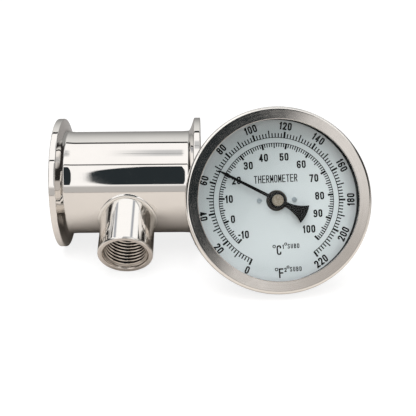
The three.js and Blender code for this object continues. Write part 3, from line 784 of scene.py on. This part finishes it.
def case():
    """The pressed case: flange, round corner, a ring pressed into its back, and its holes."""
    stem_hole, flange, back, front = measure("case_shell", HEAD)
    inside = CASE_RADIUS - WALL
    profile = rounded([
        (stem_hole, back, 0.1),
        (CASE_RING - 1.6, back, 0.8),
        (CASE_RING - 0.8, back + CASE_RING_DEPTH, 0.8),
        (CASE_RING + 0.8, back + CASE_RING_DEPTH, 0.8),
        (CASE_RING + 1.6, back, 0.8),
        (CASE_RADIUS, back, CASE_CORNER),
        (CASE_RADIUS, front - WALL, 0.3),
        (flange, front - WALL, 0.2),
        (flange, front, 0.2),
        (inside, front, 0.3),
        (inside, back + WALL, CASE_CORNER - WALL),
        (stem_hole, back + WALL, 0.1),
    ])
    piece = turned("case_pressing", profile, HEAD, SATIN)
    hole = measure("calibration_grommet", CALIBRATION)[0]
    cutter = [(0, back - 1), (hole, back - 1), (hole, back + 2), (0, back + 2)]
    cut(piece, turned("hole_cutter", cutter, CALIBRATION, SATIN, SIDES_SMALL))
    place_piece(piece, "thermometer_head", "case_steel", "case_shell")


def collar():
    """The welded collar between the case and the hexagon, with its weld fillets closed up."""
    inner, outer, back, front = measure("case_collar", HEAD)
    profile = rounded([
        (inner, back, 0.1),
        (outer - 0.5, back, 0.2),
        (outer, back + 0.9, 0.7),
        (outer, front - 0.5, 0.5),
        (outer + 0.9, front + 0.3, 0.5),
        (inner, front + 0.3, 0.1),
    ])
    head_piece("case_collar_turned", profile, SATIN, "case_steel", "case_collar")


# ---- connection and stem

HEX_CHAMFER = math.tan(radians(30))
HEX_FACE_STEP = 0.25  # the round faces at the hexagon's ends are this much smaller than its flats
NECK_RADIUS = 10.67
NECK_LENGTH = 1.0  # plain neck between the hexagon and the male thread
THREAD_END_STEP = 1.9  # from the neck's radius to the rim of the thread's end face
THREAD_END_RIM = 5.2  # width of that end face


def connection():
    """The chamfered hexagon and its helical male taper thread, as one turned and milled piece."""
    bore, corner, thread_end, front = measure("connection_bushing", HEAD)
    flat = corner * cos(pi / 6)
    hex_back = (HEAD.inverted() @ Vector(mounts["connection_hex_shoulder"]["pos_m"])).z

    def hex_ring(height, end):
        def point(angle):
            within = (angle + pi / 6) % (pi / 3) - pi / 6
            hexagon = flat / cos(pi / 6 - abs(within))
            chamfer = flat - HEX_FACE_STEP + abs(height - end) / HEX_CHAMFER
            return min(hexagon, chamfer), height
        return point

    bevel_steps = 8
    bevel = (corner - flat + 0.35) * HEX_CHAMFER
    heights = [hex_back + bevel * step / bevel_steps for step in range(bevel_steps + 1)]
    lower = [hex_ring(height, hex_back) for height in heights]
    upper = [hex_ring(front + hex_back - height, front) for height in reversed(heights)]
    thread_top = hex_back - NECK_LENGTH
    thread_length = thread_top - thread_end - 0.5
    male = thread_rows(thread_top, -1, thread_length, NECK_RADIUS - THREAD_DEPTH, THREAD_DEPTH)
    profile = [(bore, thread_end), (bore + THREAD_END_RIM, thread_end)]
    profile += [(NECK_RADIUS - THREAD_END_STEP, thread_end + 0.2)] + list(reversed(male))
    profile += [(NECK_RADIUS, thread_top + 0.1), (NECK_RADIUS, hex_back)]
    profile += lower + upper + [(bore, front)]
    head_piece("connection_milled", profile, HEXAGON, "connection_steel", "connection_bushing", sides=240)


def stem():
    """The thin-walled stem and the welded, slightly domed plug in its tip."""
    bore, outside, bottom, top = measure("stem_tube", HEAD)
    tube = [(outside, bottom), (outside, (bottom + top) / 2), (outside, top), (bore, top), (bore, bottom)]
    head_piece("stem_tube_drawn", tube, STEM, "stem_steel", "stem_tube", sides=SIDES_SMALL)
    _, outside, tip, plug_top = measure("stem_tip_plug", HEAD)
    plug = rounded([
        (0, tip, 0), (outside, tip, 0.6), (outside, tip + 0.8, 0), (outside, plug_top + 0.1, 0),
        (outside - 0.1, plug_top + 0.3, 0), (0, plug_top + 0.3, 0),
    ])
    head_piece("stem_tip_weld", plug, STEM, "stem_steel", "stem_tip_plug", sides=SIDES_SMALL)


SCREW_SHANK = 1.5
SCREW_HEAD_GAP = 0.3
SCREW_SLOT = (7, 0.7, 1.2)  # length, width and twice the depth


def calibration():
    """The grommet in the case back, and the slotted screw that turns the dial."""
    inner, outer, back, front = measure("calibration_grommet", CALIBRATION)
    grommet = turned("calibration_grommet_moulded", rounded([
        (inner, back, 0.2), (outer, back, 0.35), (outer, front, 0.05), (inner, front, 0.05),
    ]), CALIBRATION, RUBBER, SIDES_SMALL)
    place_piece(grommet, "thermometer_head", "gasket_rubber", "calibration_grommet")
    _, head, back, front = measure("calibration_screw", CALIBRATION)
    under = measure("calibration_grommet", CALIBRATION)[2] - SCREW_HEAD_GAP
    screw = turned("calibration_screw_slotted", rounded([
        (0, back, 0), (head, back, 0.35), (head, under, 0.15),
        (SCREW_SHANK, under, 0.1), (SCREW_SHANK, front, 0.2), (0, front, 0),
    ]), CALIBRATION, SATIN, SIDES_SMALL)
    slot = bmesh.new()
    bmesh.ops.create_cube(slot, size=1)
    stretch = Matrix.Diagonal((*SCREW_SLOT, 1))
    slot.transform(CALIBRATION @ Matrix.Translation((0, 0, back)) @ stretch)
    cut(screw, new_piece("slot_cutter", slot, SATIN))
    place_piece(screw, "calibration_drive", "dial_screw_steel", "calibration_screw")


# ---- dial


def dial_disc():
    """The lacquered dial plate, with its edge turned slightly down."""
    inner, outer, back, front = measure("dial_plate", HEAD)
    profile = rounded([(inner, back, 0.05), (outer, back, 0.1), (outer, front, 0.25), (inner, front, 0.05)])
    piece = turned("dial_plate_lacquered", profile, HEAD, ENAMEL)
    place_piece(piece, "dial_assembly", "dial_face", "dial_plate")


SCREW_SHARE = 0.85  # drawn a little smaller than the CAD screws' faceted heads
HUB_SHARE = 0.9


def dial_screws():
    """Two small domed screws, with a recessed dimple each."""
    for side in ("left", "right"):
        node = "dial_screw_" + side
        low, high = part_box(node)
        middle = HEAD.inverted() @ ((low + high) / 2)
        place = HEAD @ Matrix.Translation((middle.x, middle.y, 0))
        _, head, back, front = measure(node, place)
        head *= SCREW_SHARE
        under = front - 0.6
        piece = turned(node + "_domed", [
            (0, back), (0.6, back), (0.6, under), (head, under), (head, under + 0.22),
            (head * 0.9, under + 0.42), (head * 0.6, front - 0.04), (head * 0.35, front),
            (head * 0.25, front - 0.12), (0, front - 0.14),
        ], place, SCREW, 48)
        place_piece(piece, "dial_assembly", "dial_screw_steel", node)


def scale_angle(fahrenheit):
    """Degrees clockwise from straight up."""
    return SCALE_START + SCALE_PER_F * fahrenheit


def dial_point(radius, clockwise):
    """A point on the dial, in head millimetres, from a radius and degrees clockwise from straight up."""
    angle = radians(clockwise)
    return Vector((radius * sin(angle), radius * cos(angle)))


def section(build, middle, across, place, back):
    """The four corners of a printed line's cross-section, at the enamel and one thickness above it."""
    corners = []
    for side, height in ((-1, 0), (1, 0), (1, 1), (-1, 1)):
        flat = middle + across * side
        corners.append(build.verts.new(place @ Vector((flat.x, flat.y, back + height * PRINT_THICKNESS))))
    return corners


def strip(build, sections):
    """Closes a row of cross-sections into one solid strip."""
    for first, second in zip(sections, sections[1:]):
        for index in range(4):
            after = (index + 1) % 4
            build.faces.new((first[index], first[after], second[after], second[index]))
    build.faces.new(sections[0])
    build.faces.new(sections[-1])


def tick(build, clockwise, start, end, width, back):
    along = dial_point(1, clockwise)
    across = dial_point(width / 2, clockwise + 90)
    strip(build, [section(build, along * reach, across, HEAD, back) for reach in (start, end)])


def base_arc(build, radius, width, start, end, back):
    """A printed arc, in steps of about one degree."""
    steps = int(end - start)
    sections = []
    for step in range(steps + 1):
        clockwise = start + (end - start) * step / steps
        across = dial_point(width / 2, clockwise)
        sections.append(section(build, dial_point(radius, clockwise), across, HEAD, back))
    strip(build, sections)


def bend(corners, reach):
    """An open flat path with its inner corners rounded off."""
    path = [corners[0]]
    for before, here, after in zip(corners, corners[1:], corners[2:]):
        ends = []
        for neighbour in (before, after):
            arm = neighbour - here
            ends.append(here + arm.normalized() * min(reach, 0.49 * arm.length))
        path += [ends[0]] + curve_points(ends[0], here, ends[1], BEND_STEPS) + [ends[1]]
    path.append(corners[-1])
    return path


def stroke(build, path, weight, place, back):
    """A printed line of one width along a flat path, with square ends a little past it."""
    cap = STROKE_CAP * weight
    looped = (path[0] - path[-1]).length < cap
    sections = []
    for index, point in enumerate(path):
        along = (path[min(index + 1, len(path) - 1)] - path[max(index - 1, 0)]).normalized()
        if index == 0 and not looped:
            point = point - along * cap
        if index == len(path) - 1 and not looped:
            point = point + along * cap
        across = Vector((-along.y, along.x)) * weight / 2
        sections.append(section(build, point, across, HEAD @ place, back))
    strip(build, sections)


def label(build, text, middle, turn, back, height, width, weight, spread=LETTER_GAP):
    """Stroke lettering about a point on the dial, turned clockwise. The width is that of one letter."""
    place = Matrix.Translation((middle.x, middle.y, 0)) @ Matrix.Rotation(-radians(turn), 4, "Z")
    widths = [width * NARROW.get(letter, 1) for letter in text]
    gap = width * spread
    left = -(sum(widths) + gap * (len(text) - 1)) / 2
    for letter, letter_width in zip(text, widths):
        for corners in GLYPHS[letter]:
            points = []
            for x, y in corners:
                across = left + weight / 2 + x / GRID_WIDTH * (letter_width - weight)
                points.append(Vector((across, (y / GRID_HEIGHT - 0.5) * (height - weight))))
            stroke(build, bend(points, BEND_REACH * width), weight, place, back)
        left += letter_width + gap


def scale(build, degrees, angles, arc, foot, sizes, back):
    """A line with a tick at each degree that the shortest interval allows."""
    base_arc(build, *arc, angles[degrees[0]], angles[degrees[-1]], back)
    for reading in degrees:
        end, width = next(size for interval, size in sizes.items() if reading % interval == 0)
        tick(build, angles[reading], foot, end, width, back)


def outer_scale(build, back):
    """Fahrenheit: ticks outwards, and numbers whose feet point to the middle above and outwards below."""
    degrees = range(F_RANGE[0], F_RANGE[1] + 1, min(OUTER_TICKS))
    angles = {reading: scale_angle(reading) for reading in degrees}
    scale(build, degrees, angles, OUTER_ARC, OUTER_TICK_FOOT, OUTER_TICKS, back)
    for reading in degrees[::OUTER_NUMBER_STEP // degrees.step]:
        turn = angles[reading] + (180 if abs(angles[reading]) > 90 else 0)
        middle = dial_point(OUTER_NUMBER_RADIUS, angles[reading])
        label(build, str(reading), middle, turn, back, *NUMBER_SIZE)


def inner_scale(build, back):
    """Celsius: ticks inwards, and upright numbers."""
    degrees = range(C_RANGE[0], C_RANGE[1] + 1)
    angles = {reading: scale_angle(reading * F_PER_C + F_AT_ZERO_C) for reading in degrees}
    scale(build, degrees, angles, INNER_ARC, INNER_TICK_FOOT, INNER_TICKS, back)
    for reading in degrees[::INNER_NUMBER_STEP]:
        clockwise = angles[reading] + C_LABEL_TURN.get(reading, 0)
        radius = INNER_NUMBER_RADIUS - INNER_NUMBER_DRIFT * reading
        if reading <= LOW_NUMBER_LIMIT:
            radius = LOW_NUMBER_RADIUS
        label(build, str(reading), dial_point(radius, clockwise), TEXT_TURN, back, *NUMBER_SIZE)


def wording(build, back):
    """The generic wording on the dial: what it is, its units and their steps."""
    label(build, "THERMOMETER", TITLE_PLACE, TEXT_TURN, back, *TITLE_SIZE)
    for unit, step, place in UNITS:
        words = (
            (unit, 0, 0, UNIT_SIZE),
            ("o", -2.1, 1.7, DEGREE_SIZE),
            (step, 2.0, 1.4, STEP_SIZE),
            ("o", 3.2, 2.6, STEP_DEGREE_SIZE),
            ("SUBD", 6.7, 1.6, STEP_WORD_SIZE),
        )
        for text, right, above, size in words:
            label(build, text, place + Vector((right, above)), TEXT_TURN, back, *size)


def dial_print():
    back = measure("dial_plate", HEAD)[3] + PRINT_LIFT
    build = bmesh.new()
    outer_scale(build, back)
    inner_scale(build, back)
    wording(build, back)
    piece = new_piece("dial_print", build, INK)
    place_piece(piece, "dial_assembly", "dial_face")


# ---- pointer


POST_RADIUS = 4.25


def post():
    """The fixed post that the pointer turns on, seen past the pointer's eye."""
    bore, foot, bottom, top = measure("center_post", HEAD)
    foot_top = bottom + 1.0
    profile = rounded([
        (bore, bottom, 0.1), (foot, bottom, 0.2), (foot, foot_top, 0.2), (POST_RADIUS, foot_top, 0.2),
        (POST_RADIUS, top, 0.3), (bore, top, 0.15),
    ])
    head_piece("center_post_turned", profile, POST, "movement_brass", "center_post", sides=SIDES_SMALL)


# The pointer's flat outline, in millimetres and degrees
TIP_HALF_WIDTH = 0.2
SHOULDER_HALF_WIDTH = 0.55
SHOULDER_DEPTH = 3.0  # from the tip, where the needle starts to taper
NEEDLE_HALF_WIDTH = 0.75
EYE_RADIUS = 3.75
WAIST_HALF_WIDTH = 1.15
TAIL_RADIUS = 14.5
TAIL_HALF_ANGLE = 17.8
TAIL_FLARE = 0.55  # how far down the tail its sides stay narrow, as a share
POINTER_EDGE = 0.07  # the blade's edges are broken by this much


def arc_points(radius, start, end, steps):
    return [dial_point(radius, start + (end - start) * step / steps) for step in range(steps + 1)]


def curve_points(start, control, end, steps):
    shares = [step / steps for step in range(1, steps)]
    return [start * (1 - s) ** 2 + control * 2 * s * (1 - s) + end * s * s for s in shares]


def pointer_outline():
    """One half of the pointer, from the tip to the middle of its tail, towards +Y."""
    reach = max(point.length for point in (p.to_2d() for p in local_points("pointer", HEAD)))
    needle_foot = math.degrees(math.asin(NEEDLE_HALF_WIDTH / EYE_RADIUS))
    waist = math.degrees(math.asin(WAIST_HALF_WIDTH / EYE_RADIUS))
    half = [Vector((TIP_HALF_WIDTH, reach - 0.05)), Vector((SHOULDER_HALF_WIDTH, reach - SHOULDER_DEPTH))]
    half += arc_points(EYE_RADIUS, needle_foot, 180 - waist, 20)
    corner = dial_point(TAIL_RADIUS, 180 - TAIL_HALF_ANGLE)
    control = Vector((WAIST_HALF_WIDTH, half[-1].y + TAIL_FLARE * (corner.y - half[-1].y)))
    half += curve_points(half[-1], control, corner, 10)
    half += arc_points(TAIL_RADIUS, 180 - TAIL_HALF_ANGLE, 180, 8)
    return half


def pointer_place():
    """The pointer's own axis: Y runs from the hub to the tip, as the CAD pointer lies."""
    tip = max(local_points("pointer", HEAD), key=lambda point: point.to_2d().length)
    return HEAD @ Matrix.Rotation(math.atan2(-tip.x, tip.y), 4, "Z")


def pointer():
    """The enamelled pointer: a flat blade with softly broken edges."""
    _, _, back, front = measure("pointer", HEAD)
    half = pointer_outline()
    outline = half + [Vector((-point.x, point.y)) for point in reversed(half[:-1])]
    curve = bpy.data.curves.new("pointer_outline", "CURVE")
    curve.dimensions = "2D"
    curve.fill_mode = "BOTH"
    curve.extrude = (front - back) / 2 - POINTER_EDGE
    curve.bevel_depth = POINTER_EDGE
    curve.bevel_resolution = 2
    curve.offset = -POINTER_EDGE
    spline = curve.splines.new("POLY")
    spline.points.add(len(outline) - 1)
    for target, point in zip(spline.points, outline):
        target.co = (point.x, point.y, 0, 1)
    spline.use_cyclic_u = True
    holder = bpy.data.objects.new("pointer_outline", curve)
    bpy.context.scene.collection.objects.link(holder)
    graph = bpy.context.evaluated_depsgraph_get()
    mesh = bpy.data.meshes.new_from_object(holder.evaluated_get(graph))
    mesh.transform(pointer_place() @ Matrix.Translation((0, 0, (front + back) / 2)))
    build = bmesh.new()
    build.from_mesh(mesh)
    bmesh.ops.remove_doubles(build, verts=build.verts, dist=1e-8)
    bpy.data.objects.remove(holder)
    piece = new_piece("pointer_blade", build, PAINT)
    place_piece(piece, "pointer_assembly", "pointer_black", "pointer")


def hub():
    """The turned hub disc on the pointer, with a centre mark."""
    _, outer, back, front = measure("hub_cap", HEAD)
    outer *= HUB_SHARE
    profile = rounded([
        (0, back, 0), (outer, back, 0.08), (outer, front, 0.14), (1.3, front, 0),
        (0.5, front - 0.02, 0), (0.28, front - 0.12, 0), (0, front - 0.16, 0),
    ])
    piece = turned("hub_disc", profile, HEAD, NICKEL, SIDES_SMALL)
    place_piece(piece, "pointer_assembly", "hub_nickel", "hub_cap")


# ---- pieces that stay as the CAD has them


def finish_cad_nodes():
    finishes = {
        "pointer_bush": BRASS,
        "spindle": STEM,
        "upper_bushing": BRASS,
        "lower_bushing": BRASS,
        "coil_anchor": BRASS,
        "bimetal_coil": COIL,
        "dial_carrier_gear": BRASS,
        "calibration_pinion": BRASS,
    }
    for node, finish in finishes.items():
        for slot in frame["nodes"][node].material_slots:
            slot.material = finish


# ---- stage, light and camera

CAMERA_PLACE = (0.31, -349.06, 173.04)
CAMERA_DOWN = 23.17  # degrees below level
CAMERA_ROLL = -0.5
CAMERA_LENS = 66.96
CAMERA_SENSOR = 36
CAMERA_CLIP = (0.01, 50)
SOFTBOXES = (  # name, place, what it faces, width in metres and watts
    ("overhead_softbox", (0, -0.1, 1.2), (0, 0, 0), 1.4, 14),
    ("front_softbox", (0.3, -1.1, 0.6), (0, 0, 0.04), 1.0, 3.6),
)
FLOOR_SIZE = 6.0  # metres
FLOOR_DROP = 0.02
UNDER_SHADE_FROM = (-0.015, 0.03)  # Y, in metres, over which the front of the floor gives way to the painted shade under the set
BEHIND_SHADE_FROM = (0.05, 0.15)
FLOOR_BOUNCE = (0.58, 0.545, 0.51, 1)  # the floor in front, as the metal sees it
# painted shade on the floor under and behind the set, as the metal sees it
FLOOR_PAINTED_SHADE_UNDER = (0.2, 0.18, 0.165, 1)
FLOOR_PAINTED_SHADE_BEHIND = (0.3, 0.29, 0.285, 1)
FLOOR_GLOW = 0.8  # lifts the floor that the camera sees to white, as a light table does


def floor():
    """The pale floor: white to the camera, and with painted shade under and behind the set as the metal sees it.
    """
    build = bmesh.new()
    bmesh.ops.create_grid(build, x_segments=2, y_segments=2, size=FLOOR_SIZE / 2)
    build.transform(Matrix.Translation((0, 0, -FLOOR_DROP * MM)))
    made, graph = material("pale_floor", Roughness=0.9, Specular_IOR_Level=0.0)
    grain = graph.noise(graph.position(), 40.0, 3.0)
    split = graph.node("ShaderNodeSeparateXYZ", graph.position())
    # painted shade under and behind the set, seen only in reflections
    bounce = graph.mix(graph.step(split.outputs[1], *UNDER_SHADE_FROM), FLOOR_BOUNCE, FLOOR_PAINTED_SHADE_UNDER)
    bounce = graph.mix(graph.step(split.outputs[1], *BEHIND_SHADE_FROM), bounce, FLOOR_PAINTED_SHADE_BEHIND)
    seen = graph.node("ShaderNodeLightPath").outputs["Is Camera Ray"]
    graph.shade(
        Base_Color=graph.mix(seen, bounce, graph.mix(grain, grey(0.25), grey(0.26))),
        Emission_Color=grey(1.0),
        Emission_Strength=graph.times(seen, FLOOR_GLOW),
    )
    new_piece("floor", build, made)


def studio():
    """A white studio with a black panel in front, a strip-lit ceiling and a grey back wall.

    pitch is degrees from the zenith towards the front, and side is degrees out of the plane that
    holds the zenith and the front, positive to the right. Each area covers the ones before it.
    """
    world = bpy.data.worlds.new("studio")
    bpy.context.scene.world = world
    world.use_nodes = True
    graph = Graph(world.node_tree)
    direction = graph.node("ShaderNodeTexCoord").outputs["Generated"]
    x, y, z = graph.node("ShaderNodeSeparateXYZ", direction).outputs
    degrees = 180 / pi
    pitch = graph.times(graph.math("ARCTAN2", graph.times(y, -1.0), z), degrees)
    side = graph.times(graph.math("ARCSINE", x), degrees)
    height = graph.times(graph.math("ARCSINE", z), degrees)
    out = graph.size(side)
    off_boss = graph.size(graph.plus(side, 6.0))
    back_light = graph.step(pitch, -90.0, -32.0, 0.3, 0.85)
    back_wall = graph.combine(back_light, back_light, graph.times(back_light, 0.98))
    panel_height = graph.slope(pitch, 1 / 20, -57 / 20)
    left_end = graph.slope(graph.math("POWER", graph.size(panel_height), 4.0), 2.6, -8.8)
    past_left = graph.math("SUBTRACT", side, left_end)
    slant = graph.slope(pitch, 0.49, side)
    areas = (
        (back_wall, graph.step(pitch, -31.0, -29.0, 1.0, 0.0)),
        # side walls
        (grey(0.44, 0.03), graph.step(out, 42.0, 50.0)),
        # shaded strip of the ceiling, and its dark core
        (grey(0.66, -0.01), graph.band(pitch, -7.0, 9.0, 3.0), graph.step(side, -8.0, -3.0)),
        (grey(0.35, -0.01), graph.band(pitch, 2.0, 3.2, 0.6), graph.step(side, -7.0, -5.5)),
        # dark seams behind and in front of the ceiling
        (grey(0.015), graph.band(pitch, -32.4, -27.6, 0.5)),
        (grey(0.015), graph.band(pitch, 28.2, 30.8, 0.5)),
        # the lines down both sides of the boss
        ((0.42, 0.44, 0.48, 1), graph.band(pitch, -27.0, -8.0, 2.0), graph.band(off_boss, 23.0, 30.0, 2.0)),
        # dark flanks
        (grey(0.03, 0.05), graph.band(height, 14.0, 36.0, 3.0), graph.step(out, 34.0, 38.0)),
        # lower right, seen in the bezel
        (grey(0.62, 0.04), graph.step(pitch, 60.0, 67.0), graph.step(side, 10.5, 16.5)),
        # front, below the panel
        (grey(0.52, 0.03), graph.step(pitch, 74.0, 80.0), graph.step(out, 42.0, 50.0, 1.0, 0.0)),
        # black panel, with a rounded left end and a slanting right one
        ((0.024, 0.031, 0.035, 1), graph.band(pitch, 34.4, 74.3, 0.5),
         graph.step(past_left, -0.1, 0.1), graph.step(slant, 41.8, 42.5, 1.0, 0.0)),
    )
    sky = grey(1.12, 0.01)
    for colour, *masks in areas:
        sky = graph.mix(reduce(graph.times, masks), sky, colour)
    seen = graph.mix(graph.node("ShaderNodeLightPath").outputs["Is Camera Ray"], sky, grey(1.0))
    graph.feed(graph.tree.nodes["Background"].inputs["Color"], seen)


def softbox(name, place, aim, size, power):
    """A large square area light that isn't seen in reflections, which the studio draws instead."""
    light = bpy.data.lights.new(name, "AREA")
    light.shape = "SQUARE"
    light.size = size
    light.energy = power
    lamp = bpy.data.objects.new(name, light)
    lamp.location = place
    lamp.rotation_euler = (Vector(aim) - Vector(place)).to_track_quat("-Z", "Y").to_euler()
    lamp.visible_glossy = False
    bpy.context.scene.collection.objects.link(lamp)


def camera():
    data = bpy.data.cameras.new("camera")
    data.lens = CAMERA_LENS
    data.sensor_width = CAMERA_SENSOR
    data.clip_start, data.clip_end = CAMERA_CLIP
    holder = bpy.data.objects.new("camera", data)
    tilt = Matrix.Rotation(radians(90 - CAMERA_DOWN), 4, "X")
    roll = Matrix.Rotation(radians(CAMERA_ROLL), 4, "Z")
    holder.matrix_world = Matrix.Translation(Vector(CAMERA_PLACE) * MM) @ tilt @ roll
    bpy.context.scene.collection.objects.link(holder)
    bpy.context.scene.camera = holder


# ---- build

camera()
floor()
studio()
for box in SOFTBOXES:
    softbox(*box)
bpy.context.scene.view_settings.view_transform = "Standard"

spool_tube()
ferrule("ferrule_left", LEFT_END)
ferrule("ferrule_right", RIGHT_END)
threaded_boss()
boss_weld()
bezel()
window_stack()
case()
collar()
connection()
stem()
calibration()
dial_disc()
dial_screws()
dial_print()
post()
pointer()
hub()
finish_cad_nodes()
